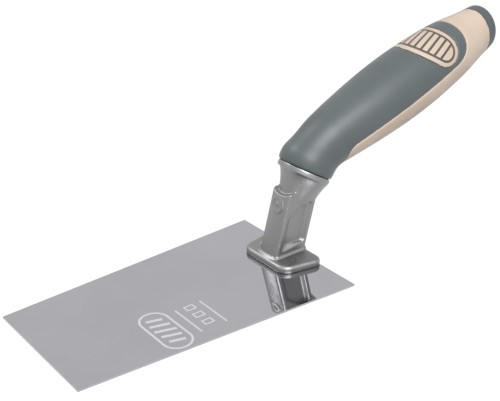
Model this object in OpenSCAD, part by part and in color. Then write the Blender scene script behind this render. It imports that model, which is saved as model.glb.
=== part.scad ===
// Trowel with a flat, tapering steel blade, a cast foot and neck, and a bent
// two-component soft-grip handle. The origin is on the underside of the blade,
// below the middle of the foot. +X runs to the butt of the handle, +Z is up.

/* [Blade] */
// Length of the blade from its toe edge to its heel edge
blade_len = 140; // [100:1:200]
// Width of the blade at its toe
toe_w = 66.5; // [50:0.5:110]
// Width of the blade at its heel, under the foot
heel_w = 83; // [60:0.5:130]
// Thickness of the blade
blade_t = 1; // [0.9:0.1:2]
// Distance from the middle of the foot to the heel edge
heel_reach = 10.4; // [8:0.1:16]

/* [Foot] */
// Length of the foot along the blade
foot_len = 22; // [18:0.5:34]
// Width of the foot on its toe side
foot_toe_w = 31; // [29:0.5:44]
// Width of the foot on its heel side
foot_heel_w = 39; // [33:0.5:50]
// Thickness of the foot
foot_t = 3.5; // [3:0.1:6]
// Corner radius of the foot, seen from above
foot_corner = 4.5; // [2:0.5:6]
// Rounding of the foot's upper edge
foot_edge = 1.2; // [0.5:0.1:2]

/* [Rivets] */
// Shank diameter of a rivet
rivet_d = 3.6; // [2.5:0.1:4.5]
// Diameter of the countersunk rivet head, flush with the underside
rivet_head_d = 5.6; // [5:0.1:7]
// Height of the countersunk rivet head
rivet_head_h = 0.8; // [0.5:0.1:0.8]
// Distance between the two rivets, across the blade
rivet_pitch = 22; // [20:0.5:24]
// Offset of the rivets from the middle of the foot, towards the toe
rivet_toeward = 1.8; // [0:0.1:4]
// Radial clearance around a rivet
rivet_clear = 0.1; // [0.05:0.05:0.2]

/* [Neck] */
// Depth of the neck, from its front to its back
neck_depth = 19.4; // [15:0.2:22]
// Width of the neck
neck_w = 12.6; // [10:0.2:15]
// Corner radius of the neck
neck_corner = 2.4; // [1:0.2:4]
// Offset of the neck's root from the middle of the foot, towards the heel
neck_root_x = 1.7; // [0:0.1:3]
// Lean of the neck from the vertical, in degrees
neck_lean = 14.5; // [10:0.5:18]
// Height of the ledge at the front of the neck, above the foot
ledge_h = 31.6; // [26:0.2:34]
// Slope of the ledge, rising to the back, in degrees
ledge_slope = 10; // [0:1:20]
// Height above the foot where the neck starts to flare to the collar
flare_h = 21.5; // [16:0.5:26]
// Set-back of the flare behind the front of the neck
flare_back = 1.8; // [0.5:0.1:3]
// Depth of the flare's lower end inside the neck, all round
flare_bury = 0.3; // [0.2:0.1:1]
// Depth of the recess in each side of the neck
pocket_depth = 1.5; // [0.5:0.1:2.5]
// Width of the rib in front of the recess
pocket_front_rib = 3.6; // [3:0.1:6]
// Width of the rib behind the recess
pocket_back_rib = 3.6; // [1.5:0.1:4]
// Height of the sill below the recess, above the foot
pocket_sill = 3; // [1.5:0.1:6]
// Height of the recess at its front edge
pocket_front_h = 17; // [10:0.5:20]
// Height of the recess at its back edge
pocket_back_h = 23; // [12:0.5:24]
// Corner radius of the recess
pocket_corner = 1.6; // [0.5:0.1:2.5]

/* [Collar] */
// Distance from the middle of the foot to the middle of the collar's upper face
collar_x = 14.8; // [12:0.1:17]
// Height of the middle of the collar's upper face above the underside
collar_z = 43.6; // [40:0.1:56]
// Diameter of the collar
collar_d = 26.6; // [22:0.2:30]
// Thickness of the collar
collar_t = 3; // [2:0.1:5]
// Step from the collar in to the flare, at the front
collar_step = 1.6; // [0.5:0.1:2.5]
// Step from the collar in to the flare, at the back
collar_back_step = 0.2; // [0.1:0.1:1.5]

/* [Tang] */
// Diameter of the tang that the handle is moulded on
tang_d = 11; // [8:0.5:14]
// Length of the straight part of the tang
tang_len = 34; // [20:1:40]
// Diameter of the retaining rings on the tang
tang_ring_d = 14; // [12:0.5:17]
// Length of a retaining ring
tang_ring_len = 3; // [2:0.5:5]
// Number of retaining rings
tang_rings = 3; // [1:1:4]

/* [Handle] */
// Rise of the handle's axis where it leaves the collar, in degrees
start_rise = 60; // [50:1:70]
// Rise of the straight part of the handle, in degrees
handle_rise = 19.5; // [10:0.5:30]
// Radius of the bend in the handle's axis
bend_r = 28.5; // [24:0.5:40]
// Length of the straight part of the handle, end cap included
straight_len = 106.2; // [95:1:140]
// Diameter of the handle at the collar and through the bend
throat_d = 26.4; // [25:0.2:31]
// Greatest diameter of the handle
belly_d = 34.8; // [32:0.2:42]
// Distance from the end of the bend to the greatest diameter
belly_at = 50; // [30:1:60]
// Diameter of the handle at its butt
butt_d = 25; // [22:0.2:30]
// Tilt of the butt from square, in degrees
butt_tilt = 15; // [0:1:18]
// Diameter of the hollow in the handle core
hollow_d = 17; // [12:0.5:18]
// Distance from the end of the tang to the hollow
hollow_gap = 5; // [3:0.5:12]

/* [Grip] */
// Wall of the soft grip
grip_t = 2.2; // [1.5:0.1:3]
// Clearance between parts that are moulded on each other
mould_gap = 0.05; // [0.03:0.01:0.1]
// Height of the parting edge below the handle's axis, at the bend
part_drop = 2; // [-2:0.1:4]
// Height of the parting edge above the handle's axis, at its rear end
part_lift = 0.8; // [-2:0.1:4]
// Start of the bare core on the underside, behind the end of the bend
bare_from = -1.5; // [-4:0.1:6]
// Radius of the front corner of the bare core
bare_corner = 7; // [3:0.5:10]
// Distance from the rear end of the grip to the end cap, along the axis
band_len = 15.5; // [8:0.5:24]
// Radius of the rear corner of the grip
grip_corner = 12; // [6:0.5:14]

/* [Emblem] */
// Radius of the emblem's round end on each side of the handle
emblem_r = 8.4; // [5:0.1:9]
// Height of the centre of the round ends above the handle's axis
emblem_h = 11.6; // [10:0.1:13]
// Distance from the centre of the round ends to the rear end of the grip
emblem_gap = 15.9; // [14:0.1:26]
// Slant of the emblem's front edge, seen from the side, in degrees
emblem_front = 38; // [20:1:45]
// Slant of the emblem's rear edge, seen from the side, in degrees
emblem_rear = 25; // [0:1:30]

/* [End cap] */
// Thickness of the end cap
cap_t = 4.2; // [3:0.1:7]
// Length of the spigot that holds the end cap
spigot_len = 8; // [5:0.5:14]
// Wall of the spigot
spigot_wall = 2; // [1.2:0.1:3]
// Radial clearance of the spigot
spigot_clear = 0.1; // [0.05:0.05:0.3]

/* [Hidden] */
$fn = 64;

foot_top = blade_t + foot_t;
slab = 0.4;
joint_angle = 1;
lead_len = 2;
lead_in = 0.8;
lead_out = 0.1;
wide = 60;
arc_steps = 8;
profile_steps = 11;

// the middle of the bend, and where the bend ends
bend_x = collar_x + bend_r * sin(start_rise);
bend_z = collar_z - bend_r * cos(start_rise);
straight_x = bend_x - bend_r * sin(handle_rise);
straight_z = bend_z + bend_r * cos(handle_rise);

// distances along the straight axis
cap_at = straight_len - cap_t;
grip_end = cap_at - band_len;
emblem_at = grip_end - emblem_gap;
hollow_from = tang_len + hollow_gap;
body_len = straight_len + butt_d / 2 * tan(butt_tilt) + 1;
ring_step = tang_len / tang_rings;

// Radius of the handle at a distance along its straight axis, which starts a little proud of the bend
function handle_r(z) = z < belly_at
    ? throat_d / 2 + lead_out + (belly_d / 2 - throat_d / 2 - lead_out) * sin(90 * z / belly_at)
    : butt_d / 2 + (belly_d / 2 - butt_d / 2) * cos(90 * (z - belly_at) / (straight_len - belly_at));

// Points of an arc, from one angle to another
function arc(x, y, r, from, to) =
    [for (i = [0:arc_steps]) let (a = from + (to - from) * i / arc_steps) [x + r * cos(a), y + r * sin(a)]];

// Points of a four-sided outline with round corners, whose corner centres lie at x from the
// middle, and at half width a at the toe side and b at the heel side
function rounded(x, a, b, r) = let (slant = atan2(b - a, 2 * x)) concat(
    arc(x, b, r, 0, 90 + slant),
    arc(-x, a, r, 90 + slant, 180),
    arc(-x, -a, r, 180, 270 - slant),
    arc(x, -b, r, 270 - slant, 360)
);

// Puts its children in the frame of the straight handle: +Z along it, +X to its underside
module on_handle() {
    translate([straight_x, 0, straight_z]) rotate([0, 90 - handle_rise, 0]) children();
}

// A rod that follows the bend, with some more angle at its front
module bent_rod(d, front = 0) {
    translate([bend_x, 0, bend_z])
        rotate([90, 0, 0])
            rotate([0, 0, 90 + handle_rise])
                rotate_extrude(angle = start_rise - handle_rise + front)
                    translate([bend_r, 0]) circle(d = d);
}

// The straight part of the handle's outer shape, cut back all over by an inset, with a lead
// that widens out of the bend
module swell(inset = 0) {
    rotate_extrude() polygon(concat(
        [[0, -lead_len], [throat_d / 2 - lead_in - inset, -lead_len]],
        [for (i = [0:profile_steps]) let (z = belly_at * i / profile_steps) [handle_r(z) - inset, z]],
        [for (i = [1:profile_steps]) let (z = belly_at + (body_len - belly_at) * i / profile_steps)
            [handle_r(z) - inset, z]],
        [[0, body_len]]
    ));
}

// The handle's outer shape, cut back all over by an inset
module handle_body(inset = 0, front = 0) {
    bent_rod(throat_d - 2 * inset, front);
    on_handle() swell(inset);
}

// All that lies behind a plane across the handle, tilted as the butt is
module behind(z) {
    translate([0, 0, z])
        rotate([0, butt_tilt, 0])
            translate([-wide / 2, -wide / 2, 0]) cube(wide);
}

// The side view of the bare core: under the parting edge, and behind the rear end of the grip
module bare_zone(gap = 0) {
    front = bare_from + gap;
    rear = grip_end + gap;
    low = part_drop + gap;
    high = -part_lift + gap;
    rotate([90, 0, 0])
        translate([0, 0, -wide / 2])
            linear_extrude(wide) polygon(concat(
                [[wide, front]],
                arc(low + bare_corner, front + bare_corner, bare_corner, 270, 180),
                arc(high - grip_corner, rear - grip_corner, grip_corner, 0, 90),
                [[-wide, rear], [-wide, 3 * wide], [wide, 3 * wide]]
            ));
}

// The side view of the emblem: a tongue that comes down both sides from the top
module emblem_zone(gap = 0) {
    r = emblem_r - gap;
    x = -emblem_h;
    run = wide / 2;
    front = emblem_front - 90;
    rear = emblem_rear + 90;
    rotate([90, 0, 0])
        translate([0, 0, -wide / 2])
            linear_extrude(wide) polygon(concat(
                [[x + r * cos(front) - run * cos(emblem_front),
                    emblem_at + r * sin(front) - run * sin(emblem_front)]],
                arc(x, emblem_at, r, front, rear),
                [[x + r * cos(rear) - run * cos(emblem_rear),
                    emblem_at + r * sin(rear) - run * sin(emblem_rear)]]
            ));
}

// The tang, grown all over by a gap for what is moulded on it
module tang(gap = 0) {
    bent_rod(tang_d + 2 * gap, joint_angle);
    on_handle() {
        cylinder(d = tang_d + 2 * gap, h = tang_len + gap);
        for (i = [0:tang_rings - 1])
            translate([0, 0, i * ring_step - tang_ring_len / 2 - gap])
                cylinder(d = tang_ring_d + 2 * gap, h = tang_ring_len + 2 * gap);
    }
}

module rivet_places() {
    for (side = [-1, 1]) translate([-rivet_toeward, side * rivet_pitch / 2, 0]) children();
}

// A rivet that fills the blade and the foot, grown by a gap for its hole
module rivet_shape(gap = 0) {
    cylinder(d = rivet_d + 2 * gap, h = foot_top + gap);
    translate([0, 0, -gap])
        cylinder(d1 = rivet_head_d + 2 * gap, d2 = rivet_d + 2 * gap, h = rivet_head_h + gap);
}

// The outline of the foot, cut back by an inset
module foot_outline(inset = 0) {
    polygon(rounded(
        foot_len / 2 - foot_corner,
        foot_toe_w / 2 - foot_corner,
        foot_heel_w / 2 - foot_corner,
        foot_corner - inset
    ));
}

// A thin level section of the neck at a height above the foot, cut back in front and all round
module neck_section(h, front_cut = 0, inset = 0) {
    x = neck_root_x + h * tan(neck_lean) + front_cut / 2;
    half_depth = (neck_depth - front_cut) / 2 - neck_corner;
    half_w = neck_w / 2 - neck_corner;
    translate([x, 0, foot_top + h])
        linear_extrude(slab) polygon(rounded(half_depth, half_w, half_w, neck_corner - inset));
}

// The leaning block of the neck, up to its ledge
module neck_block() {
    front = neck_root_x - neck_depth / 2 + ledge_h * tan(neck_lean);
    difference() {
        hull() {
            neck_section(-1);
            neck_section(ledge_h + 4);
        }
        translate([front, -wide / 2, foot_top + ledge_h])
            rotate([0, -ledge_slope, 0]) translate([-wide / 2, 0, 0]) cube(wide);
    }
}

// The flare from the neck to the round collar
module flare() {
    hull() {
        neck_section(flare_h, flare_back, flare_bury);
        translate([collar_x, 0, collar_z])
            rotate([0, 90 - start_rise, 0])
                translate([(collar_step - collar_back_step) / 2, 0, -collar_t])
                    cylinder(d = collar_d - collar_step - collar_back_step, h = collar_t / 2, $fn = 48);
    }
}

// The recess in one side of the neck
module pocket(side) {
    lean = tan(neck_lean);
    front = neck_root_x - neck_depth / 2 + pocket_front_rib;
    back = neck_root_x + neck_depth / 2 - pocket_back_rib;
    low = pocket_sill;
    front_top = low + pocket_front_h;
    back_top = low + pocket_back_h;
    translate([0, side * (neck_w / 2 - pocket_depth), foot_top])
        rotate([90, 0, 0])
            translate([0, 0, side > 0 ? -wide / 2 : 0])
                linear_extrude(wide / 2)
                    offset(r = pocket_corner, $fn = 24) offset(delta = -pocket_corner)
                        polygon([
                            [front + low * lean, low],
                            [front + front_top * lean, front_top],
                            [back + back_top * lean - 3, back_top],
                            [back + back_top * lean, back_top - 2.5],
                            [back + low * lean, low]
                        ]);
}

module blade() {
    toe = heel_reach - blade_len;
    color("silver") difference() {
        linear_extrude(blade_t) polygon([
            [toe, -toe_w / 2], [heel_reach, -heel_w / 2],
            [heel_reach, heel_w / 2], [toe, toe_w / 2]
        ]);
        rivet_places() rivet_shape(rivet_clear);
    }
}

module shank() {
    color("darkgray") union() {
        difference() {
            union() {
                translate([0, 0, blade_t]) hull() {
                    linear_extrude(foot_t - foot_edge) foot_outline();
                    linear_extrude(foot_t) foot_outline(foot_edge);
                }
                neck_block();
                flare();
            }
            pocket(-1);
            pocket(1);
            rivet_places() rivet_shape(rivet_clear);
        }
        translate([collar_x, 0, collar_z])
            rotate([0, 90 - start_rise, 0]) translate([0, 0, -collar_t]) cylinder(d = collar_d, h = collar_t);
        tang();
    }
}

module rivet_left() {
    color("gainsboro") translate([-rivet_toeward, rivet_pitch / 2, 0]) rivet_shape();
}

module rivet_right() {
    color("gainsboro") translate([-rivet_toeward, -rivet_pitch / 2, 0]) rivet_shape();
}

module handle_core() {
    color("tan") difference() {
        union() {
            handle_body(grip_t + mould_gap);
            intersection() {
                handle_body();
                on_handle() union() {
                    bare_zone(mould_gap);
                    emblem_zone(mould_gap);
                }
            }
        }
        tang(mould_gap);
        on_handle() {
            translate([0, 0, hollow_from]) cylinder(d = hollow_d, h = body_len);
            behind(cap_at);
        }
    }
}

module grip() {
    color("slategray") difference() {
        handle_body();
        handle_body(grip_t, 1);
        on_handle() {
            bare_zone();
            emblem_zone();
        }
    }
}

module end_cap() {
    spigot_d = hollow_d - 2 * spigot_clear;
    color("darkslategray") on_handle() union() {
        difference() {
            intersection() {
                swell();
                behind(cap_at);
            }
            behind(cap_at + cap_t);
        }
        translate([0, 0, cap_at - spigot_len]) difference() {
            cylinder(d = spigot_d, h = spigot_len + spigot_d / 2 * tan(butt_tilt) + 0.5);
            translate([0, 0, -1]) cylinder(d = spigot_d - 2 * spigot_wall, h = spigot_len + 1);
        }
    }
}

blade();
shank();
rivet_left();
rivet_right();
handle_core();
grip();
end_cap();
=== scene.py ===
# A flat trowel on a pale floor: polished blade, cast shank, bent handle in two plastics.
import bmesh
import bpy
import math
from mathutils import Matrix, Vector


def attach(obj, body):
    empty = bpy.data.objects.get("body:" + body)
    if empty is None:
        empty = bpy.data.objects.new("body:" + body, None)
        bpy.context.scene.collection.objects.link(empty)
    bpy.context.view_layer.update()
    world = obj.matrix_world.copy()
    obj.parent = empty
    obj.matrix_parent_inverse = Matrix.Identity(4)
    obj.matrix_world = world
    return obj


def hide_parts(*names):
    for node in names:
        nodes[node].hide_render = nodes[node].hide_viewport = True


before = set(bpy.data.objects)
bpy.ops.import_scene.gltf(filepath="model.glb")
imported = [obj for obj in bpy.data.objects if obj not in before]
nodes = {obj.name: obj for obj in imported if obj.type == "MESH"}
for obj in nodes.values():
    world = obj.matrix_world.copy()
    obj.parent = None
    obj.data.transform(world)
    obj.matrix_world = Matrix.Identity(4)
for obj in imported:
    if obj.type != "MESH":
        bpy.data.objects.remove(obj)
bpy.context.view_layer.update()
mm = 0.001
print("frame loaded, nodes:", sorted(nodes))


# ---- small helpers for modelling ----

def only(piece):  # the one object that the next operator works on
    if bpy.context.object and bpy.context.object.mode != "OBJECT":
        bpy.ops.object.mode_set(mode="OBJECT")
    bpy.ops.object.select_all(action="DESELECT")
    piece.select_set(True)
    bpy.context.view_layer.objects.active = piece


def settle(piece, name):  # puts a fresh primitive's place and size into its mesh
    piece.name = name
    only(piece)
    bpy.ops.object.transform_apply(location=True, rotation=True, scale=True)
    return piece


def pick(piece, kind, wanted):  # in edit mode, selects what the test says yes to
    bpy.ops.mesh.select_mode(type=kind)
    bpy.ops.mesh.select_all(action="DESELECT")
    mesh = bmesh.from_edit_mesh(piece.data)
    for part in {"VERT": mesh.verts, "EDGE": mesh.edges, "FACE": mesh.faces}[kind]:
        if wanted(part):
            part.select_set(True)
    mesh.select_flush_mode()
    bmesh.update_edit_mesh(piece.data)


def facesOut(piece):  # recalculates the normals of a closed shape
    only(piece)
    bpy.ops.object.mode_set(mode="EDIT")
    bpy.ops.mesh.select_all(action="SELECT")
    bpy.ops.mesh.normals_make_consistent(inside=False)
    bpy.ops.object.mode_set(mode="OBJECT")


def applied(piece, kind, **settings):  # adds a modifier and applies it
    modifier = piece.modifiers.new(kind.lower(), kind)
    for key, value in settings.items():
        setattr(modifier, key, value)
    only(piece)
    bpy.ops.object.modifier_apply(modifier=modifier.name)
    return piece


def cut(piece, tool, operation="DIFFERENCE"):  # the tool is used up
    applied(piece, "BOOLEAN", object=tool, operation=operation, solver="EXACT")
    bpy.data.objects.remove(tool)
    return piece


def joined(first, *others):
    only(first)
    for other in others:
        other.select_set(True)
    bpy.ops.object.join()
    return first


def moulded(piece, voxel, passes):  # one skin with soft corners, as a mould or a casting leaves it
    applied(piece, "REMESH", mode="VOXEL", voxel_size=voxel * mm, use_smooth_shade=True)
    applied(piece, "SMOOTH", factor=0.5, iterations=passes)
    only(piece)
    bpy.ops.object.shade_smooth()
    return piece


def block(name, low, high):  # a box from its lowest to its highest corner
    centre = [(a + b) / 2 * mm for a, b in zip(low, high)]
    bpy.ops.object.select_all(action="DESELECT")
    size = [(b - a) * mm for a, b in zip(low, high)]
    bpy.ops.mesh.primitive_cube_add(size=1, location=centre, scale=size)
    return settle(bpy.context.object, name)


def closeEnds():  # fills the selected last ring, then the first one
    bpy.ops.mesh.edge_face_add()
    bpy.ops.mesh.select_all(action="DESELECT")
    bpy.ops.mesh.select_non_manifold()
    bpy.ops.mesh.edge_face_add()
    bpy.ops.object.mode_set(mode="OBJECT")


def loft(name, stations, sides):  # rings of (x, z, rise, radius), each one extruded from the last
    x, z, rise, radius = stations[0]
    bpy.ops.object.select_all(action="DESELECT")
    bpy.ops.mesh.primitive_circle_add(vertices=sides, radius=radius * mm,
                                      location=(x * mm, 0, z * mm),
                                      rotation=(0, math.pi / 2 - rise, 0))
    tube = settle(bpy.context.object, name)
    bpy.ops.object.mode_set(mode="EDIT")
    bpy.ops.mesh.select_all(action="SELECT")
    for (x0, z0, rise0, r0), (x1, z1, rise1, r1) in zip(stations, stations[1:]):
        centre = (x1 * mm, 0, z1 * mm)
        step = ((x1 - x0) * mm, 0, (z1 - z0) * mm)
        bpy.ops.mesh.extrude_region_move(TRANSFORM_OT_translate={"value": step})
        if abs(rise1 - rise0) > 1e-6:  # windowless rotate turns the other way
            bpy.ops.transform.rotate(value=rise1 - rise0, orient_axis="Y", center_override=centre)
        if abs(r1 - r0) > 1e-6:
            bpy.ops.transform.resize(value=(r1 / r0,) * 3, center_override=centre)
    closeEnds()
    facesOut(tube)
    return tube


def prismOf(name, corners, way):  # a flat outline of corners, drawn out one way
    bpy.ops.object.select_all(action="DESELECT")
    bpy.ops.mesh.primitive_circle_add(vertices=len(corners), radius=1, fill_type="NGON")
    prism = settle(bpy.context.object, name)
    for vertex, corner in zip(prism.data.vertices, corners):
        vertex.co = Vector(corner) * mm
    bpy.ops.object.mode_set(mode="EDIT")
    bpy.ops.mesh.select_all(action="SELECT")
    bpy.ops.mesh.extrude_region_move(TRANSFORM_OT_translate={"value": Vector(way) * mm})
    bpy.ops.object.mode_set(mode="OBJECT")
    facesOut(prism)
    return prism


def sidePrism(name, outline, low, high):  # a side-view outline of (x, z), drawn out along y
    return prismOf(name, [(x, low, z) for x, z in outline], (0, high - low, 0))


def standingPrism(name, outline, low, high, shift=0.0):  # an outline of (x, y), drawn out upwards
    return prismOf(name, [(x, y, low) for x, y in outline], (shift, 0, high - low))


through = 30.0  # half the width of a tool that goes right through the handle


def arc(x, z, radius, start, end, steps=14):  # points of an arc, angles in degrees
    angles = [math.radians(start + (end - start) * i / steps) for i in range(steps + 1)]
    return [(x + radius * math.cos(a), z + radius * math.sin(a)) for a in angles]


def span(start, end, step):  # evenly spaced values, about a step apart
    count = max(1, round((end - start) / step))
    return [start + (end - start) * i / count for i in range(count + 1)]


def ease(t):  # a soft change from 0 to 1
    t = min(1.0, max(0.0, t))
    return t * t * (3 - 2 * t)


def finished(piece, material, slot, *replaced):
    only(piece)
    piece.data.materials.clear()
    piece.data.materials.append(material)
    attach(piece, "root")
    if replaced:
        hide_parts(*replaced)
    print(piece.name, "done,", len(piece.data.polygons), "faces")
    return piece


# ---- shader groups that several materials share ----

def newGroup(name, inputs, outputs):
    group = bpy.data.node_groups.new(name, "ShaderNodeTree")
    for label, kind, value in inputs:
        socket = group.interface.new_socket(label, in_out="INPUT", socket_type=kind)
        if value is not None:
            socket.default_value = value
    for label, kind in outputs:
        group.interface.new_socket(label, in_out="OUTPUT", socket_type=kind)
    return group, group.nodes.new("NodeGroupInput"), group.nodes.new("NodeGroupOutput")


def add(tree, kind, **settings):  # a node, its settings, and its inputs by name or number
    node = tree.nodes.new("ShaderNode" + kind)
    for key, value in settings.pop("sockets", {}).items():
        if hasattr(value, "is_output"):
            tree.links.new(value, node.inputs[key])
        else:
            node.inputs[key].default_value = value
    for key, value in settings.items():
        setattr(node, key, value)
    return node


def maths(tree, operation, *values, clamp=False):
    node = add(tree, "Math", operation=operation, use_clamp=clamp, sockets=dict(enumerate(values)))
    return node.outputs[0]


def tune(tree, value, low, high, toLow, toHigh):  # smooth change from one range to another
    node = add(tree, "MapRange", interpolation_type="SMOOTHSTEP", sockets={
        "Value": value, "From Min": low, "From Max": high, "To Min": toLow, "To Max": toHigh})
    return node.outputs["Result"]


grainMix = {"coarser": 0.31, "fine": 0.6, "broad": 0.4, "specks": (0.35, 0.65)}


def makeGrain():  # fine pits and specks of a moulded or cast skin
    tree, given, out = newGroup("surfaceGrain", [
        ("Vector", "NodeSocketVector", None),
        ("Scale", "NodeSocketFloat", 2500.0),
        ("Stretch", "NodeSocketVector", (1, 1, 1)),
    ], [("Height", "NodeSocketFloat"), ("Specks", "NodeSocketFloat")])
    place = add(tree, "VectorMath", operation="MULTIPLY",
                sockets={0: given.outputs["Vector"], 1: given.outputs["Stretch"]}).outputs[0]
    fine = add(tree, "TexNoise", sockets={
        "Vector": place, "Scale": given.outputs["Scale"], "Detail": 3.0, "Roughness": 0.6}).outputs["Fac"]
    coarser = maths(tree, "MULTIPLY", given.outputs["Scale"], grainMix["coarser"])
    broad = add(tree, "TexNoise", sockets={
        "Vector": place, "Scale": coarser, "Detail": 2.0}).outputs["Fac"]
    height = maths(tree, "ADD", maths(tree, "MULTIPLY", fine, grainMix["fine"]),
                   maths(tree, "MULTIPLY", broad, grainMix["broad"]))
    tree.links.new(height, out.inputs["Height"])
    tree.links.new(tune(tree, fine, *grainMix["specks"], 0.0, 1.0), out.inputs["Specks"])
    return tree


handlingMix = {"stretch": (0.12, 3.0, 1.0), "patches": (0.35, 0.7), "streaks": (0.4, 0.65)}


def makeHandling():  # slow patches where hands and rags have been
    tree, given, out = newGroup("handlingMarks", [
        ("Vector", "NodeSocketVector", None),
        ("Size", "NodeSocketFloat", 40.0),
    ], [("Patches", "NodeSocketFloat"), ("Streaks", "NodeSocketFloat")])
    cloud = add(tree, "TexNoise", sockets={
        "Vector": given.outputs["Vector"], "Scale": given.outputs["Size"], "Detail": 4.0,
        "Distortion": 0.6}).outputs["Fac"]
    drawn = add(tree, "VectorMath", operation="MULTIPLY",
                sockets={0: given.outputs["Vector"], 1: handlingMix["stretch"]}).outputs[0]
    streak = add(tree, "TexNoise", sockets={
        "Vector": drawn, "Scale": given.outputs["Size"], "Detail": 5.0}).outputs["Fac"]
    tree.links.new(tune(tree, cloud, *handlingMix["patches"], 0.0, 1.0), out.inputs["Patches"])
    tree.links.new(tune(tree, streak, *handlingMix["streaks"], 0.0, 1.0), out.inputs["Streaks"])
    return tree


edgeMix = {"flat": 0.5, "edgesFrom": 0.525, "hollowsFrom": 0.49, "ragged": 600.0, "wobble": 0.02}


def makeEdges():  # outer edges, lighter as wear and as a painted highlight, and hollows, darkened as painted shade
    tree, given, out = newGroup("edgesAndHollows", [
        ("Vector", "NodeSocketVector", None),
        ("Reach", "NodeSocketFloat", 0.06),
    ], [("Edges", "NodeSocketFloat"), ("Hollows", "NodeSocketFloat")])
    bend = add(tree, "NewGeometry").outputs["Pointiness"]
    ragged = add(tree, "TexNoise", sockets={
        "Vector": given.outputs["Vector"], "Scale": edgeMix["ragged"]}).outputs["Fac"]
    wobble = maths(tree, "MULTIPLY_ADD", ragged, edgeMix["wobble"], -edgeMix["wobble"] / 2)
    shifted = maths(tree, "ADD", bend, wobble)
    top = maths(tree, "ADD", given.outputs["Reach"], edgeMix["flat"])
    low = maths(tree, "SUBTRACT", edgeMix["flat"], given.outputs["Reach"])
    tree.links.new(tune(tree, shifted, edgeMix["edgesFrom"], top, 0.0, 1.0), out.inputs["Edges"])
    tree.links.new(tune(tree, shifted, edgeMix["hollowsFrom"], low, 0.0, 1.0), out.inputs["Hollows"])
    return tree


markBlur = 0.06  # mm on each side of a mark's outline


def makeBar():  # a flat mark with rounded ends, turned in its plane: 1 inside and 0 outside
    tree, given, out = newGroup("flatMark", [
        ("Vector", "NodeSocketVector", None),
        ("Centre", "NodeSocketVector", (0, 0, 0)),
        ("Half Size", "NodeSocketVector", (1, 1, 0)),
        ("Corner", "NodeSocketFloat", 0.001),
        ("Turn", "NodeSocketFloat", 0.0),
    ], [("Mask", "NodeSocketFloat")])
    spin = add(tree, "VectorRotate", rotation_type="Z_AXIS", sockets={
        "Vector": given.outputs["Vector"], "Center": given.outputs["Centre"],
        "Angle": given.outputs["Turn"]})
    offset = add(tree, "VectorMath", operation="SUBTRACT",
                 sockets={0: spin.outputs[0], 1: given.outputs["Centre"]}).outputs[0]
    far = add(tree, "VectorMath", operation="ABSOLUTE", sockets={0: offset}).outputs[0]
    over = add(tree, "VectorMath", operation="SUBTRACT",
               sockets={0: far, 1: given.outputs["Half Size"]}).outputs[0]
    parts = add(tree, "SeparateXYZ", sockets={0: over})
    sides = []
    for axis in ("X", "Y"):
        grown = maths(tree, "ADD", parts.outputs[axis], given.outputs["Corner"])
        sides.append(maths(tree, "MAXIMUM", grown, 0.0))
    squares = [maths(tree, "MULTIPLY", side, side) for side in sides]
    reach = maths(tree, "SQRT", maths(tree, "ADD", *squares))
    away = maths(tree, "SUBTRACT", reach, given.outputs["Corner"])
    tree.links.new(tune(tree, away, -markBlur * mm, markBlur * mm, 1.0, 0.0), out.inputs["Mask"])
    return tree


grainGroup = makeGrain()
handlingGroup = makeHandling()
edgeGroup = makeEdges()
barGroup = makeBar()


def use(tree, group, **sockets):  # places a group; socket names are given without spaces
    node = tree.nodes.new("ShaderNodeGroup")
    node.node_tree = group
    for socket in node.inputs:
        value = sockets.get(socket.name.replace(" ", ""))
        if hasattr(value, "is_output"):
            tree.links.new(value, socket)
        elif value is not None:
            socket.default_value = value
    return node


def newMaterial(name, **constants):  # a Principled material, and the place on its own object
    material = bpy.data.materials.new(name)
    material.use_nodes = True
    tree = material.node_tree
    shader = tree.nodes["Principled BSDF"]
    for key, value in constants.items():
        shader.inputs[key.replace("_", " ")].default_value = value
    return material, tree, shader, add(tree, "TexCoord").outputs["Object"]


def mixed(tree, amount, first, second):  # from the first colour to the second
    node = add(tree, "Mix", data_type="RGBA", blend_type="MIX")
    wanted = (("Factor", "VALUE", amount), ("A", "RGBA", first), ("B", "RGBA", second))
    for key, kind, value in wanted:  # the node has a socket of each name for each data type
        socket = [s for s in node.inputs if s.name == key and s.type == kind][0]
        if hasattr(value, "is_output"):
            tree.links.new(value, socket)
        else:
            socket.default_value = value
    return [s for s in node.outputs if s.type == "RGBA"][0]


def bumped(tree, shader, height, distance, strength=1.0):
    bump = add(tree, "Bump", sockets={"Height": height, "Distance": distance, "Strength": strength})
    tree.links.new(bump.outputs["Normal"], shader.inputs["Normal"])


# ---- finishes ----

bladeFinish = {
    "steel": (0.405, 0.400, 0.428, 1),
    "steelDeep": (0.385, 0.381, 0.408, 1),
    "etched": (0.60, 0.60, 0.61, 1),
    "polish": (0.03, 0.07),  # roughness, clean and smeared
    "etchedRoughness": 0.5,
    "markCentre": (-79.5, -19.5),  # mm, on the blade
    "ringHalf": (7.2, 15.8),
    "ringLine": 1.1,
    "linesAt": (-67.7, -54.5),
    "lineHalf": (0.45, 10.4),
    "lineCorner": 0.2,
    "barSteps": (-2, -1, 0, 1, 2),
    "barEvery": 4.6,
    "barHalf": (5.0, 0.85),
    "barShorter": (0.42, 1.6),  # how much, and how suddenly, towards the ring's ends
    "barCorner": 0.3,
    "barTurn": 0.28,
    "squareSteps": (-1, 0, 1),
    "squareEvery": 6.8,
    "squareShift": 1.5,
    "squareHalf": (2.6, 2.0),
    "squareLine": 0.8,
    "squareCorners": (0.4, 0.2),
    "topFace": 0.95,  # the marks lie above this height only
    "handling": 28.0,
    "grain": (900.0, (0.05, 2.0, 1.0), 0.0000006),  # scale, stretch, height
}


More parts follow.
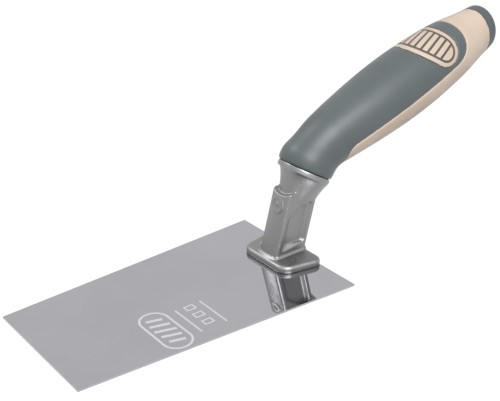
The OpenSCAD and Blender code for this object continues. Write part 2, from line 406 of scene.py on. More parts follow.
def polishedSteel():
    f = bladeFinish
    material, tree, shader, place = newMaterial("polishedSteel", Metallic=1.0)
    scale, stretch, depth = f["grain"]
    hands = use(tree, handlingGroup, Vector=place, Size=f["handling"])
    grain = use(tree, grainGroup, Vector=place, Scale=scale, Stretch=stretch)

    def mark(cx, cy, hx, hy, corner, turn=0.0):
        return use(tree, barGroup, Vector=place, Centre=(cx * mm, cy * mm, 0),
                   HalfSize=(hx * mm, hy * mm, 0), Corner=corner * mm, Turn=turn).outputs["Mask"]

    def hollowMark(big, small):
        return maths(tree, "SUBTRACT", mark(*big), mark(*small), clamp=True)

    x, y = f["markCentre"]
    hx, hy = f["ringHalf"]
    line = f["ringLine"]
    etched = hollowMark((x, y, hx, hy, hx), (x, y, hx - line, hy - line, hx - line))
    marks = []
    long, thick = f["barHalf"]
    less, power = f["barShorter"]
    for step in f["barSteps"]:  # bars inside the ring
        half = long - less * abs(step) ** power
        marks.append(mark(x, y + step * f["barEvery"], half, thick, f["barCorner"], f["barTurn"]))
    for at in f["linesAt"]:
        marks.append(mark(at, y, *f["lineHalf"], f["lineCorner"]))
    middle = sum(f["linesAt"]) / 2
    hx, hy = f["squareHalf"]
    line = f["squareLine"]
    outside, inside = f["squareCorners"]
    for step in f["squareSteps"]:  # plain open squares between the lines
        at = (middle, y + f["squareShift"] + step * f["squareEvery"])
        marks.append(hollowMark((*at, hx, hy, outside), (*at, hx - line, hy - line, inside)))
    for mask in marks:
        etched = maths(tree, "MAXIMUM", etched, mask)
    height = add(tree, "SeparateXYZ", sockets={0: place}).outputs["Z"]
    etched = maths(tree, "MULTIPLY", etched, maths(tree, "GREATER_THAN", height, f["topFace"] * mm))
    polished = mixed(tree, hands.outputs["Patches"], f["steel"], f["steelDeep"])
    tree.links.new(mixed(tree, etched, polished, f["etched"]), shader.inputs["Base Color"])
    smear = maths(tree, "MULTIPLY", hands.outputs["Patches"], hands.outputs["Streaks"])
    smooth = tune(tree, smear, 0.0, 1.0, *f["polish"])
    satin = maths(tree, "MULTIPLY", etched, f["etchedRoughness"])
    tree.links.new(maths(tree, "MAXIMUM", smooth, satin), shader.inputs["Roughness"])
    bumped(tree, shader, grain.outputs["Height"], depth)
    return material


castFinish = {
    "metal": (0.25, 0.25, 0.25, 1),
    # lighter edges: wear and a painted highlight
    "worn": (0.31, 0.31, 0.315, 1),
    "wear": 0.75,
    # painted shade: the colour that the casting's hollows are darkened to
    "dull": (0.09, 0.09, 0.09, 1),
    "roughness": (0.38, 0.50),
    "edgeReach": 0.05,
    "handling": 90.0,
    "grain": (1400.0, 0.00005, 0.6),  # scale, height, strength
}


def castMetal():
    f = castFinish
    material, tree, shader, place = newMaterial("satinCasting", Metallic=1.0)
    scale, depth, strength = f["grain"]
    edges = use(tree, edgeGroup, Vector=place, Reach=f["edgeReach"])
    grain = use(tree, grainGroup, Vector=place, Scale=scale)
    hands = use(tree, handlingGroup, Vector=place, Size=f["handling"])
    # painted shade: hollows darkened
    toned = mixed(tree, edges.outputs["Hollows"], f["metal"], f["dull"])
    # edges lighter: wear and a painted highlight
    rubbedAndLit = maths(tree, "MULTIPLY", edges.outputs["Edges"], f["wear"])
    tree.links.new(mixed(tree, rubbedAndLit, toned, f["worn"]), shader.inputs["Base Color"])
    rough = tune(tree, hands.outputs["Patches"], 0, 1, *f["roughness"])
    tree.links.new(rough, shader.inputs["Roughness"])
    bumped(tree, shader, grain.outputs["Height"], depth, strength)
    return material


rivetFinish = {
    "tones": ((0.30, 0.30, 0.30, 1), (0.36, 0.36, 0.365, 1)),
    "roughness": (0.25, 0.38),
    "grain": (1800.0, 0.00003, 0.5),
}


def rivetSteel():
    f = rivetFinish
    material, tree, shader, place = newMaterial("rivetSteel", Metallic=1.0)
    scale, depth, strength = f["grain"]
    grain = use(tree, grainGroup, Vector=place, Scale=scale)
    specks = grain.outputs["Specks"]
    tree.links.new(mixed(tree, specks, *f["tones"]), shader.inputs["Base Color"])
    tree.links.new(tune(tree, specks, 0, 1, *f["roughness"]), shader.inputs["Roughness"])
    bumped(tree, shader, grain.outputs["Height"], depth, strength)
    return material


coreFinish = {
    "beige": ((0.60, 0.490, 0.400, 1), (0.56, 0.452, 0.362, 1)),
    # painted shade: the colour that the plastic's hollows are darkened to, and how much
    "dirt": (0.36, 0.28, 0.22, 1),
    "dirtiness": 0.5,
    # pale edges: a painted highlight and wear
    "paleEdge": (0.76, 0.69, 0.61, 1),
    "wear": 0.5,
    "edgeReach": 0.1,
    "roughness": (0.42, 0.54),
    "handling": 55.0,
    "grain": (2600.0, 0.00003, 0.5),
}


def hardPlastic():
    f = coreFinish
    material, tree, shader, place = newMaterial("beigePlastic", IOR=1.5)
    scale, depth, strength = f["grain"]
    edges = use(tree, edgeGroup, Vector=place, Reach=f["edgeReach"])
    grain = use(tree, grainGroup, Vector=place, Scale=scale)
    hands = use(tree, handlingGroup, Vector=place, Size=f["handling"])
    toned = mixed(tree, hands.outputs["Patches"], *f["beige"])
    # painted shade: hollows darkened
    shadedHollows = maths(tree, "MULTIPLY", edges.outputs["Hollows"], f["dirtiness"])
    toned = mixed(tree, shadedHollows, toned, f["dirt"])
    # edges paler: a painted highlight and wear
    rubbedAndLit = maths(tree, "MULTIPLY", edges.outputs["Edges"], f["wear"])
    tree.links.new(mixed(tree, rubbedAndLit, toned, f["paleEdge"]), shader.inputs["Base Color"])
    rough = tune(tree, hands.outputs["Patches"], 0, 1, *f["roughness"])
    tree.links.new(rough, shader.inputs["Roughness"])
    bumped(tree, shader, grain.outputs["Height"], depth, strength)
    return material


rubberFinish = {
    "slate": ((0.092, 0.108, 0.113, 1), (0.080, 0.095, 0.100, 1)),
    # the cap's tones: the slate rubber made darker, a painted shade
    "cap": ((0.078, 0.089, 0.096, 1), (0.068, 0.079, 0.085, 1)),
    # the inlay lines' tones: the grip rubber made darker and browner, a painted shade
    "inlay": ((0.085, 0.072, 0.062, 1), (0.070, 0.060, 0.052, 1)),
    "paler": 1.35,  # how much lighter the edges are, worn and with a painted highlight
    "wear": 0.5,
    "edgeReach": 0.1,
    "roughness": (0.41, 0.48),
    "handling": 45.0,
    "grain": (3200.0, 0.00005, 0.6),
}


def softRubber(name, tone):
    f = rubberFinish
    material, tree, shader, place = newMaterial(name, IOR=1.5)
    light, deep = f[tone]
    scale, depth, strength = f["grain"]
    grain = use(tree, grainGroup, Vector=place, Scale=scale)
    hands = use(tree, handlingGroup, Vector=place, Size=f["handling"])
    edges = use(tree, edgeGroup, Vector=place, Reach=f["edgeReach"])
    toned = mixed(tree, hands.outputs["Patches"], light, deep)
    # edges paler: wear and a painted highlight
    paler = tuple(c * f["paler"] for c in light[:3]) + (1,)
    rubbedAndLit = maths(tree, "MULTIPLY", edges.outputs["Edges"], f["wear"])
    tree.links.new(mixed(tree, rubbedAndLit, toned, paler), shader.inputs["Base Color"])
    rough = tune(tree, hands.outputs["Patches"], 0, 1, *f["roughness"])
    tree.links.new(rough, shader.inputs["Roughness"])
    bumped(tree, shader, grain.outputs["Height"], depth, strength)
    return material


steel = polishedSteel()
casting = castMetal()
riveted = rivetSteel()
beige = hardPlastic()
rubber = softRubber("slateRubber", "slate")
# a darker copy of the grip rubber for the inlay lines: painted shade
inlayShadedRubber = softRubber("inlayRubberShaded", "inlay")
# a darker copy of the slate rubber for the cap: painted shade
capRubberShaded = softRubber("capRubberShaded", "cap")
print("materials made")

# ---- the handle's shape, shared by the core, the grip and the cap ----

handle = {
    "collar": (14.8, 43.6),  # x and z of the middle of the collar's face
    "startRise": 60.0,  # degrees, where the handle leaves the collar
    "rise": 19.5,  # degrees, along the straight part
    "bendR": 28.5,
    "waistR": 13.1,
    "waistAt": 9.0,  # distances are along the axis, from the collar
    "bellyR": 17.4,
    "bellyAt": 70.0,
    "buttR": 12.5,
    "bellyCurve": 1.2,
    "length": 129.1,
    "capT": 5.8,
    "buttTilt": 15.0,
    "tiltFrom": 98.0,
    "gripT": 2.2,
    "sides": 112,
}
topLine = {  # how the top stands off the plain round shape
    "swell": 0.85,  # a low hump, just behind the collar
    "swellAt": 4.2,
    "swellHalf": 3.2,
    "rim": 0.85,
    "dip": 0.5,  # a slight hollow after the hump
    "dipAt": 13.0,
    "dipRun": 14.0,
    "droop": 1.5,  # how much it sinks near the end
    "droopFrom": 100.0,
    "droopRun": 24.0,
}
bendLen = handle["bendR"] * math.radians(handle["startRise"] - handle["rise"])
capAt = handle["length"] - handle["capT"]


def axisAt(s):  # x, z and rise on the handle's axis
    start = math.radians(handle["startRise"])
    rise = start - min(s, bendLen) / handle["bendR"]
    x = handle["collar"][0] + handle["bendR"] * (math.sin(start) - math.sin(rise))
    z = handle["collar"][1] + handle["bendR"] * (math.cos(rise) - math.cos(start))
    beyond = max(0.0, s - bendLen)
    return x + beyond * math.cos(rise), z + beyond * math.sin(rise), rise


def radiusAt(s):
    h = handle
    if s < h["waistAt"]:
        return h["waistR"]
    if s < h["bellyAt"]:
        share = math.sin(math.pi / 2 * (s - h["waistAt"]) / (h["bellyAt"] - h["waistAt"]))
        return h["waistR"] + (h["bellyR"] - h["waistR"]) * share ** h["bellyCurve"]
    share = math.cos(math.pi / 2 * (s - h["bellyAt"]) / (h["length"] - h["bellyAt"]))
    return h["buttR"] + (h["bellyR"] - h["buttR"]) * share


def liftAt(s):
    top = topLine
    swell = top["swell"] * math.exp(-((s - top["swellAt"]) / top["swellHalf"]) ** 2)
    if s < top["dipAt"]:
        return swell + top["rim"] - (top["rim"] + top["dip"]) * ease(s / top["dipAt"])
    dip = top["dip"] * (1 - ease((s - top["dipAt"]) / top["dipRun"]))
    return swell - dip - top["droop"] * ease((s - top["droopFrom"]) / top["droopRun"])


def ringAt(s, inset=0.0):
    x, z, rise = axisAt(s)
    up = liftAt(s) / 2
    tilt = ease((s - handle["tiltFrom"]) / (capAt - handle["tiltFrom"]))
    return (x - up * math.sin(rise), z + up * math.cos(rise),
            rise - math.radians(handle["buttTilt"]) * tilt, radiusAt(s) + up - inset)


def handleSpot(down, along):  # x and z of a point that is given from the straight part's start
    x, z, rise = axisAt(bendLen)
    return (x + along * math.cos(rise) + down * math.sin(rise),
            z + along * math.sin(rise) - down * math.cos(rise))


def handleForm(name, start, end=capAt, inset=0.0, step=1.5):
    return loft(name, [ringAt(s, inset) for s in span(start, end, step)], handle["sides"])


parting = {
    "bareFrom": -1.5,  # along the straight part
    "drop": 2.0,
    "lift": 0.8,
    "frontCorner": 7.0,
    "rearCorner": 12.0,
    "gripEnd": 86.6,
    "gap": 0.12,
    "beyond": (60.0, 160.0),  # outside the handle, downwards and to the rear
    "emblemR": 8.7,
    "emblemHeight": 11.6,
    "emblemAt": 70.7,
    "emblemFront": 38.0,  # degrees, the slopes of the window's two sides
    "emblemRear": 25.0,
    "emblemRun": 30.0,
}


def bareOutline(gap=0.0):
    p = parting
    front, rear = p["bareFrom"] + gap, p["gripEnd"] + gap
    low, high = p["drop"] + gap, -p["lift"] + gap
    corner, back = p["frontCorner"], p["rearCorner"]
    down, end = p["beyond"]
    points = [(down, front)]
    points += arc(low + corner, front + corner, corner, 270, 180)
    points += arc(high - back, rear - back, back, 0, 90)
    points += [(-down, rear), (-down, end), (down, end)]
    return [handleSpot(*point) for point in points]


def emblemOutline(gap=0.0):
    p = parting
    r, x, z = p["emblemR"] - gap, -p["emblemHeight"], p["emblemAt"]
    tip = arc(x, z, r, p["emblemFront"] - 90, p["emblemRear"] + 90, 28)
    run = p["emblemRun"]
    front, rear = math.radians(p["emblemFront"]), math.radians(p["emblemRear"])
    first = (tip[0][0] - run * math.cos(front), tip[0][1] - run * math.sin(front))
    last = (tip[-1][0] - run * math.cos(rear), tip[-1][1] - run * math.sin(rear))
    return [handleSpot(*point) for point in [first] + tip + [last]]


coreShape = {"start": 0.3, "gap": 0.1, "voxel": 0.5, "passes": 4}


def makeCore():
    c = coreShape
    core = handleForm("handleCore", c["start"], inset=handle["gripT"] + c["gap"])
    for outline in (bareOutline(parting["gap"]), emblemOutline(parting["gap"])):
        skin = handleForm("coreSkin", c["start"])
        cut(skin, sidePrism("zone", outline, -through, through), "INTERSECT")
        core = joined(core, skin)
    moulded(core, c["voxel"], c["passes"])
    return finished(core, beige, "beige_plastic", "handle_core")


gripShape = {
    "start": 0.05,
    "rimRound": 1.6,
    "rimInset": 0.4,  # as a share of the rounding
    "rimStep": 0.25,
    "step": 1.5,
    "short": 4.0,  # ends before the cap, under the bare rear band
    "voxel": 0.45,
    "passes": 4,
}


def makeGrip():
    g = gripShape
    rounding = g["rimRound"]
    rings = []
    for s in span(g["start"], rounding, g["rimStep"]):
        inset = g["rimInset"] * rounding * (1 - math.sqrt(1 - (1 - s / rounding) ** 2))
        rings.append(ringAt(s, inset))
    rings += [ringAt(s) for s in span(rounding + 1, capAt - g["short"], g["step"])]
    grip = loft("softGrip", rings, handle["sides"])
    cut(grip, handleForm("inside", -1.0, capAt - 2, handle["gripT"]))
    cut(grip, sidePrism("bare", bareOutline(), -through, through))
    cut(grip, sidePrism("window", emblemOutline(), -through, through))
    moulded(grip, g["voxel"], g["passes"])
    return finished(grip, rubber, "grip_rubber", "grip")


inlay = {
    "border": 2.4,
    "ring": 1.15,
    "line": 1.2,
    "barEvery": 12.5,  # degrees around the crown
    "barTurn": 14.0,
    "barSteps": range(-5, 5),
    "barBefore": 4.0,
    "plate": (70.0, 50.0),  # length and height of the tool that parts two bars
    "from": 26.0,  # how far the lines reach, before and behind the emblem's middle
    "to": 16.0,
    "over": 2.0,
    "step": 2.0,
    "deep": 0.5,
    "proud": 0.03,
}


def makePlate(spot, lean, around):  # a thin upright plate on the handle's axis, for one bar
    x, z, rise = spot
    long, tall = inlay["plate"]
    foot = Vector((x, 0, z)) * mm
    bpy.ops.object.select_all(action="DESELECT")
    bpy.ops.mesh.primitive_cube_add(size=1, location=foot, scale=Vector((long, inlay["line"], tall)) * mm)
    plate = settle(bpy.context.object, "barPlate")
    bpy.ops.object.mode_set(mode="EDIT")
    bpy.ops.mesh.select_all(action="SELECT")
    bpy.ops.transform.translate(value=(0, 0, tall / 2 * mm))
    bpy.ops.object.mode_set(mode="OBJECT")
    turn = Matrix.Rotation(-rise, 4, "Y") @ Matrix.Rotation(around, 4, "X")
    turn = turn @ Matrix.Rotation(lean, 4, "Z")
    plate.data.transform(Matrix.Translation(foot) @ turn @ Matrix.Translation(-foot))
    return plate


def makeInlay():
    i = inlay
    at = bendLen + parting["emblemAt"]
    start, end, over = at - i["from"], at + i["to"], i["over"]
    lines = handleForm("emblemInlay", start, end, -i["proud"], i["step"])
    cut(lines, handleForm("under", start - over, end + over, i["deep"], i["step"]))
    cut(lines, sidePrism("outside", emblemOutline(i["border"]), -through, through), "INTERSECT")
    spaces = sidePrism("spaces", emblemOutline(i["border"] + i["ring"]), -through, through)
    for step in i["barSteps"]:  # plain slanted bars around the crown
        around = math.radians(i["barEvery"] * (step + 0.5))
        cut(spaces, makePlate(axisAt(at - i["barBefore"]), math.radians(i["barTurn"]), around))
    cut(lines, spaces)
    return finished(lines, inlayShadedRubber, "grip_rubber")


capShape = {
    "gap": 0.06,
    "edge": 1.0,
    "edgeSteps": 8,
    "step": 0.8,
    "dome": 0.9,
    "domeRings": (0.8, 0.6, 0.4, 0.2, 0.05),  # as shares of the face's radius
    "frontEdge": 0.3,
    "spigotR": 8.4,
    "spigotLen": 8.0,
    "spigotEdge": 0.5,
    "boreR": 6.4,
    "boreEnd": (0.8, 0.6),  # past the front face, and radius
    "smoothUpTo": 40.0,
}


def makeCap():
    c = capShape
    start = capAt + c["gap"]
    end = handle["length"]
    r = ringAt(start)[3]

    def at(s, radius):
        x, z, rise, _ = ringAt(s)
        return (x, z, rise, radius)

    deep, tip = c["boreEnd"]
    far = start - c["spigotLen"]
    rings = [at(start + deep, tip), at(start + deep, c["boreR"]), at(far, c["boreR"]),
             at(far, c["spigotR"] - c["spigotEdge"]), at(far + c["spigotEdge"], c["spigotR"]),
             at(start, c["spigotR"]), at(start, r - c["frontEdge"]), at(start + c["frontEdge"], r)]
    turnFrom = end - c["edge"]
    rimR = ringAt(turnFrom)[3]
    rings += [at(s, ringAt(s)[3]) for s in span(start + 1, turnFrom, c["step"])]
    for i in range(1, c["edgeSteps"] + 1):
        a = math.radians(90 * i / c["edgeSteps"])
        rings.append(at(turnFrom + c["edge"] * math.sin(a), rimR - c["edge"] * (1 - math.cos(a))))
    face = rimR - c["edge"]
    for share in c["domeRings"]:
        rings.append(at(end + c["dome"] * (1 - share ** 2), face * share))
    cap = loft("endCap", rings, handle["sides"])
    only(cap)
    bpy.ops.object.shade_smooth_by_angle(angle=math.radians(c["smoothUpTo"]))
    return finished(cap, capRubberShaded, "cap_rubber", "end_cap")


# ---- the casting: foot, neck, flare, collar and tang in one skin ----

shank = {
    "foot": (11.0, 15.5, 19.5, 1.0, 4.5),  # half length, half widths at toe and heel, bottom, top
    "footCorner": 5.2,
    "footEdge": 1.8,
    "footRear": 0.6,
    "neckX": 1.4,
    "neckHalf": (10.0, 6.3),
    "neckCorner": (1.4, 2.4),  # front and rear
    "neckSink": 1.5,  # how deep it starts in the foot
    "crownTurn": 14.0,
    "crownStep": 0.4,
    "lean": 14.5,
    "ledge": 31.3,  # above the foot
    "ledgeSlope": 10.0,
    "scoop": (1.1, 17.0),  # depth and radius of the hollow in the ledge
    "rootR": 0.6,
    "collarR": 13.3,
    "collarT": 3.0,
    "collarEdge": 0.45,
    "tang": (5.4, 34.0, 2.0, 1.5),  # radius, reach into the straight part, start in the collar, step
    "rivets": (-1.8, 11.0, 1.92),
    "holeDepth": 12.0,
    "voxel": 0.31,
    "passes": 6,
    "smoothUpTo": 40.0,
}
footTop = shank["foot"][4]
neckFront = shank["neckX"] - shank["neckHalf"][0]


def leaning(h):  # how far back the neck is at a height above the foot
    return h * math.tan(math.radians(shank["lean"]))


def makeFoot():
    half, toe, heel, low, high = shank["foot"]
    foot = block("foot", (-half, -heel, low), (half + shank["footRear"], heel, high))
    bpy.ops.object.mode_set(mode="EDIT")
    pick(foot, "VERT", lambda v: v.co.x < 0)
    bpy.ops.transform.resize(value=(1, toe / heel, 1), center_override=(0, 0, 0))
    pick(foot, "EDGE", lambda e: abs(e.verts[0].co.z - e.verts[1].co.z) > mm)
    bpy.ops.mesh.bevel(offset=shank["footCorner"] * mm, segments=10)
    pick(foot, "EDGE", lambda e: all(v.co.z > (high - 0.1) * mm for v in e.verts))
    bpy.ops.mesh.bevel(offset=shank["footEdge"] * mm, segments=5)
    bpy.ops.object.mode_set(mode="OBJECT")
    return foot


def neckOutline(grow=0.0):  # the neck's section, with a slightly crowned front
    s = shank
    deep, wide = s["neckHalf"]
    front, rear = s["neckX"] - deep - grow, s["neckX"] + deep + grow
    wide += grow
    r, backR = s["neckCorner"]
    turn = math.radians(s["crownTurn"])
    reach = wide - r * (1 - math.sin(turn))
    crown = math.tan(turn) * reach / 2
    points = [(front + crown * (y / reach) ** 2, y) for y in span(-reach, reach, s["crownStep"])]
    middle = (front + crown + r * math.cos(turn), wide - r)
    points += arc(*middle, r, 180 - s["crownTurn"], 90, 8)[1:]
    points += arc(rear - backR, wide - backR, backR, 90, 0, 8)
    points += arc(rear - backR, backR - wide, backR, 0, -90, 8)
    points += arc(middle[0], -middle[1], r, -90, s["crownTurn"] - 180, 8)[:-1]
    return points


def makeNeck():
    s = shank
    low, high = -s["neckSink"], s["ledge"] + 5
    outline = [(x + leaning(low), y) for x, y in neckOutline()]
    neck = standingPrism("neck", outline, footTop + low, footTop + high, leaning(high - low))
    slope = math.radians(s["ledgeSlope"])
    front = neckFront + leaning(s["ledge"])
    bpy.ops.object.mode_set(mode="EDIT")
    bpy.ops.mesh.select_all(action="SELECT")
    bpy.ops.mesh.bisect(plane_co=(front * mm, 0, (footTop + s["ledge"]) * mm),
                        plane_no=(-math.sin(slope), 0, math.cos(slope)),
                        use_fill=True, clear_outer=True)
    bpy.ops.object.mode_set(mode="OBJECT")
    deep, radius = s["scoop"]
    middle = footTop + s["ledge"] - deep + radius
    bpy.ops.object.select_all(action="DESELECT")
    bpy.ops.mesh.primitive_cylinder_add(vertices=160, radius=radius * mm, depth=2 * through * mm,
                                        location=(front * mm, 0, middle * mm),
                                        rotation=(0, math.pi / 2 - slope, 0))
    cut(neck, settle(bpy.context.object, "scoop"))
    bead = standingPrism("bead", neckOutline(s["rootR"]), footTop - 1, footTop + s["rootR"])
    return cut(neck, bead, "UNION")


flareShape = {
    "from": 19.0,
    "back": 2.6,  # how far its front stands back from the neck's
    "curve": (1.7, 1.2, 1.9),  # how late it widens to the front, the rear and the sides
    "square": 2.8,  # 2 is a plain oval
    "roundSooner": 1.1,
    "inside": 0.2,  # how far it stays inside the neck and the collar
    "collarStep": (1.6, 0.2),  # how far the collar stands out from it, front and rear
    "steps": 14,
    "sides": 96,
}


def squareRing(turn, deep, wide, squareness):  # how far a rounded rectangle reaches in a direction
    across = abs(math.cos(turn) / deep) ** squareness
    along = abs(math.sin(turn) / wide) ** squareness
    return (across + along) ** (-1 / squareness)


def makeFlare():  # rings that change from the neck's rounded rectangle to the collar's circle
    s, f = shank, flareShape
    deep, wide = s["neckHalf"]
    deep -= f["back"] / 2 + f["inside"]
    wide -= f["inside"]
    atFront, atRear = f["collarStep"]
    cx, cz, rise = axisAt(0)
    down = s["collarT"] - f["inside"]
    side = (atFront - atRear) / 2
    endX = cx - down * math.cos(rise) + side * math.sin(rise)
    endZ = cz - down * math.sin(rise) - side * math.cos(rise)
    endR = s["collarR"] - (atFront + atRear) / 2
    startX = s["neckX"] + leaning(f["from"]) + f["back"] / 2
    startZ = footTop + f["from"]
    bpy.ops.object.select_all(action="DESELECT")
    bpy.ops.mesh.primitive_circle_add(vertices=f["sides"], radius=mm,
                                      location=(startX * mm, 0, startZ * mm))
    flare = settle(bpy.context.object, "flare")
    bpy.ops.object.mode_set(mode="EDIT")
    bpy.ops.mesh.select_all(action="SELECT")
    was = (Vector((startX, 0, startZ)) * mm, Vector((1, 0, 0)))
    lift = Vector((0, 0, 0.1)) * mm
    for i in range(f["steps"] + 1):
        t = i / f["steps"]
        ahead, behind, aside = [t ** curve for curve in f["curve"]]
        tip = math.pi / 2 + (rise - math.pi / 2) * ease(t)
        centre = Vector((startX + (endX - startX) * t, 0, startZ + (endZ - startZ) * t)) * mm
        across = Vector((math.sin(tip), 0, -math.cos(tip)))
        front = deep + (endR - deep) * ahead
        rear = deep + (endR - deep) * behind
        half = wide * (1 - aside) + endR * aside
        squareness = f["square"] + (2 - f["square"]) * ease(t * f["roundSooner"])
        if i:
            bpy.ops.mesh.extrude_region_move(TRANSFORM_OT_translate={"value": lift})
            was = (was[0] + lift, was[1])
        mesh = bmesh.from_edit_mesh(flare.data)
        for corner in mesh.verts:
            if corner.select:
                offset = corner.co - was[0]
                turn = math.atan2(offset.y, offset.dot(was[1]))
                long = rear if abs(turn) < math.pi / 2 else front
                reach = squareRing(turn, long, half, squareness) * mm
                around = across * math.cos(turn) + Vector((0, math.sin(turn), 0))
                corner.co = centre + around * reach
        bmesh.update_edit_mesh(flare.data)
        was = (centre, across)
    closeEnds()
    facesOut(flare)
    return flare


def makeCollar():
    s = shank
    cx, cz, rise = axisAt(0)
    thick, edge, r = s["collarT"], s["collarEdge"], s["collarR"]

    def at(up, radius):
        return (cx + up * math.cos(rise), cz + up * math.sin(rise), rise, radius)

    rings = [at(-thick, r - edge), at(edge - thick, r), at(-edge, r), at(0, r - edge)]
    return loft("collar", rings, flareShape["sides"])


def makeTang():
    radius, reach, inCollar, step = shank["tang"]
    rings = []
    for s in span(-inCollar, bendLen + reach, step):
        x, z, rise = axisAt(max(s, 0))
        back = min(s, 0)
        rings.append((x + back * math.cos(rise), z + back * math.sin(rise), rise, radius))
    return loft("tang", rings, 40)


pocket = {
    "deep": 1.9,
    "frontRib": 5.6,  # these heights and widths are the floor's
    "frontSlope": 2.6,
    "backRib": 2.7,
    "low": 5.0,
    "frontHigh": 18.8,
    "backHigh": 24.8,
    "backFlat": (4.6, 0.3, 0.5),  # the top's rear end: from, to and drop
    "sill": 2.4,
    "rearSill": 0.2,  # as a share of the sill
    "fade": 1.5,
    "corner": 1.2,
    "tool": 10.0,  # height of the shape that is taken out, above the floor
}


def makePocket(side):
    p, s = pocket, shank
    deep, wide = s["neckHalf"]
    front = s["neckX"] - deep + p["frontRib"]
    back = s["neckX"] + deep - p["backRib"]
    fromRear, toRear, drop = p["backFlat"]
    outline = [(front + leaning(p["low"]), footTop + p["low"]),
               (front + leaning(p["frontHigh"]), footTop + p["frontHigh"]),
               (back + leaning(p["backHigh"]) - fromRear, footTop + p["backHigh"]),
               (back + leaning(p["backHigh"]) - toRear, footTop + p["backHigh"] - drop),
               (back + leaning(p["low"]), footTop + p["low"])]
    floorY = wide - p["deep"]
    half = p["tool"] / 2
    hollow = sidePrism("pocket", outline, floorY, floorY + p["tool"])
    only(hollow)
    bpy.ops.object.mode_set(mode="EDIT")

    def outer(corner):
        return corner.co.y > (floorY + half) * mm

    def rear(corner):
        return corner.co.x / mm - leaning(corner.co.z / mm - footTop) > back - 2

    def low(corner):
        return corner.co.z < (footTop + p["low"] + 0.1) * mm

    def slide(wanted, x, z=0.0):
        pick(hollow, "VERT", wanted)
        bpy.ops.transform.translate(value=(x * mm, 0, z * mm))

    grows = p["tool"] / p["deep"]  # from the skin to the tool's outer end
    for share, atRear in ((1.0, False), (p["rearSill"], True)):  # the sill slopes out from the floor
        fall = grows * p["sill"] * share
        slide(lambda v: outer(v) and low(v) and rear(v) == atRear, -leaning(fall), -fall)
    slide(lambda v: outer(v) and not rear(v), -grows * p["frontSlope"])
    slide(lambda v: rear(v) and not outer(v), -p["fade"])  # the floor rises softly to the rear
    slide(lambda v: rear(v) and outer(v), p["fade"] * (grows - 1))
    pick(hollow, "EDGE", lambda e: abs(e.verts[0].co.y - e.verts[1].co.y) > half * mm)
    bpy.ops.mesh.bevel(offset=p["corner"] * mm, segments=6)
    bpy.ops.object.mode_set(mode="OBJECT")
    if side < 0:
        hollow.data.transform(Matrix.Scale(-1, 4, (0, 1, 0)))
    facesOut(hollow)
    return hollow


badge = {"up": 25.0, "ringR": 3.6, "line": 0.32, "dotR": 1.2, "dotFlat": 0.35}


def makeBadge():  # a plain ring and dot, cast on the front of the neck
    b = badge
    place = Vector((neckFront + leaning(b["up"]), 0, footTop + b["up"])) * mm
    lean = math.radians(shank["lean"])
    bpy.ops.object.select_all(action="DESELECT")
    bpy.ops.mesh.primitive_torus_add(major_radius=b["ringR"] * mm, minor_radius=b["line"] * mm,
                                     major_segments=64, minor_segments=12, location=place,
                                     rotation=(0, -math.pi / 2 + lean, 0))
    ring = settle(bpy.context.object, "badge")
    bpy.ops.mesh.primitive_uv_sphere_add(radius=b["dotR"] * mm, segments=32, ring_count=16,
                                         location=place, scale=(b["dotFlat"], 1, 1))
    return joined(ring, settle(bpy.context.object, "dot"))


blending = {  # heights above the foot, and distances from the neck's front and its middle
    "from": (24.5, 2.0),
    "to": (30.5, 3.0),
    "toRise": 0.5,  # how much later it ends towards the rear
    "back": (3.5, 3.0),
    "aside": (4.0, 2.0),
    "passes": 140,
}


def blend(body):  # lets the neck's sides run into the flare without a crease
    b = blending
    group = body.vertex_groups.new(name="blend")

    def after(key, value):
        start, run = b[key]
        return ease((value - start) / run)

    end, fade = b["to"]
    for corner in body.data.vertices:
        x, y, z = corner.co / mm
        h = z - footTop
        back = x - neckFront - leaning(h)
        weight = after("from", h) * ease((end + b["toRise"] * back - h) / fade)
        weight *= after("back", back) * after("aside", abs(y))
        if weight > 0.01:
            group.add([corner.index], weight, "REPLACE")
    applied(body, "SMOOTH", factor=0.5, iterations=b["passes"], vertex_group="blend")


def makeShank():
    s = shank
    body = makeNeck()
    cut(body, makeFlare(), "UNION")
    for side in (-1, 1):
        cut(body, makePocket(side))
    body = joined(body, makeFoot(), makeCollar(), makeTang(), makeBadge())
    body.name = "castShank"
    moulded(body, s["voxel"], s["passes"])
    blend(body)
    x, y, radius = s["rivets"]
    for side in (-1, 1):
        bpy.ops.object.select_all(action="DESELECT")
        bpy.ops.mesh.primitive_cylinder_add(vertices=64, radius=radius * mm,
                                            depth=s["holeDepth"] * mm,
                                            location=(x * mm, side * y * mm, 2.5 * mm))
        cut(body, settle(bpy.context.object, "hole"))
    only(body)
    bpy.ops.object.shade_smooth_by_angle(angle=math.radians(s["smoothUpTo"]))
    return finished(body, casting, "cast_metal", "shank")


for name, material in (("blade", steel), ("rivet_left", riveted), ("rivet_right", riveted)):
    mesh = nodes[name].data
    mesh.materials.clear()
    mesh.materials.append(material)

makeShank()
makeCore()
makeGrip()
makeInlay()
makeCap()

# ---- floor, light and camera ----

studio = {
    "floorSize": 8.0,
    "floorTone": 0.22,
    "floorGlow": 0.85,  # the floor's and the sky's own light, for all but diffuse rays
    "mirrored": 1.0,
    "ambient": 0.13,  # the sky's light for diffuse rays
    "lampsAim": (0.03, 0, 0.05),
}
softboxes = {  # power, size, place
    "keyLight": (26.0, 0.9, (-0.36, -0.95, 1.08)),
    "backLight": (5.0, 0.42, (-0.51, 0.70, 0.97)),
}


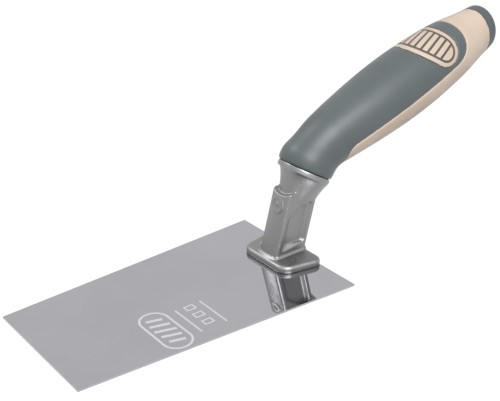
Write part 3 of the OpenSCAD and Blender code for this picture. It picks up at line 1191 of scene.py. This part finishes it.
def lookAt(holder, place, aim):
    bpy.context.scene.collection.objects.link(holder)
    holder.location = place
    holder.rotation_euler = (aim - place).to_track_quat("-Z", "Y").to_euler()


def makeFloor():
    s = studio
    bpy.ops.object.select_all(action="DESELECT")
    bpy.ops.mesh.primitive_plane_add(size=s["floorSize"], location=(0, 0, 0))
    floor = settle(bpy.context.object, "studioFloor")
    material, tree, shader, _ = newMaterial("paleFloor", Roughness=0.9)
    shader.inputs["Base Color"].default_value = (s["floorTone"],) * 3 + (1,)
    shader.inputs["Emission Color"].default_value = (1, 1, 1, 1)
    diffuse = add(tree, "LightPath").outputs["Is Diffuse Ray"]
    glow = maths(tree, "MULTIPLY_ADD", diffuse, -s["floorGlow"], s["floorGlow"])
    tree.links.new(glow, shader.inputs["Emission Strength"])
    floor.data.materials.append(material)


def makeLight():
    s = studio
    world = bpy.data.worlds.new("studioWorld")
    bpy.context.scene.world = world
    world.use_nodes = True
    tree = world.node_tree
    sky = tree.nodes["Background"]
    diffuse = add(tree, "LightPath").outputs["Is Diffuse Ray"]
    strength = maths(tree, "MULTIPLY_ADD", diffuse, s["ambient"] - s["mirrored"], s["mirrored"])
    sky.inputs["Color"].default_value = (1, 1, 1, 1)
    tree.links.new(strength, sky.inputs["Strength"])
    for name, (power, size, spot) in softboxes.items():
        lamp = bpy.data.lights.new(name, "AREA")
        lamp.energy = power
        lamp.size = size
        lookAt(bpy.data.objects.new(name, lamp), Vector(spot), Vector(s["lampsAim"]))


shot = {"place": (-264.93, -314.37, 231.10), "aim": (26.83, 57.82, 1.0), "lens": 69.58}


def makeCamera():
    camera = bpy.data.cameras.new("camera")
    camera.lens = shot["lens"]
    camera.sensor_width = 36
    camera.clip_start = 0.01
    holder = bpy.data.objects.new("camera", camera)
    lookAt(holder, Vector(shot["place"]) * mm, Vector(shot["aim"]) * mm)
    bpy.context.scene.camera = holder


makeFloor()
makeLight()
makeCamera()
bpy.context.scene.view_settings.view_transform = "Standard"
print("studio ready")
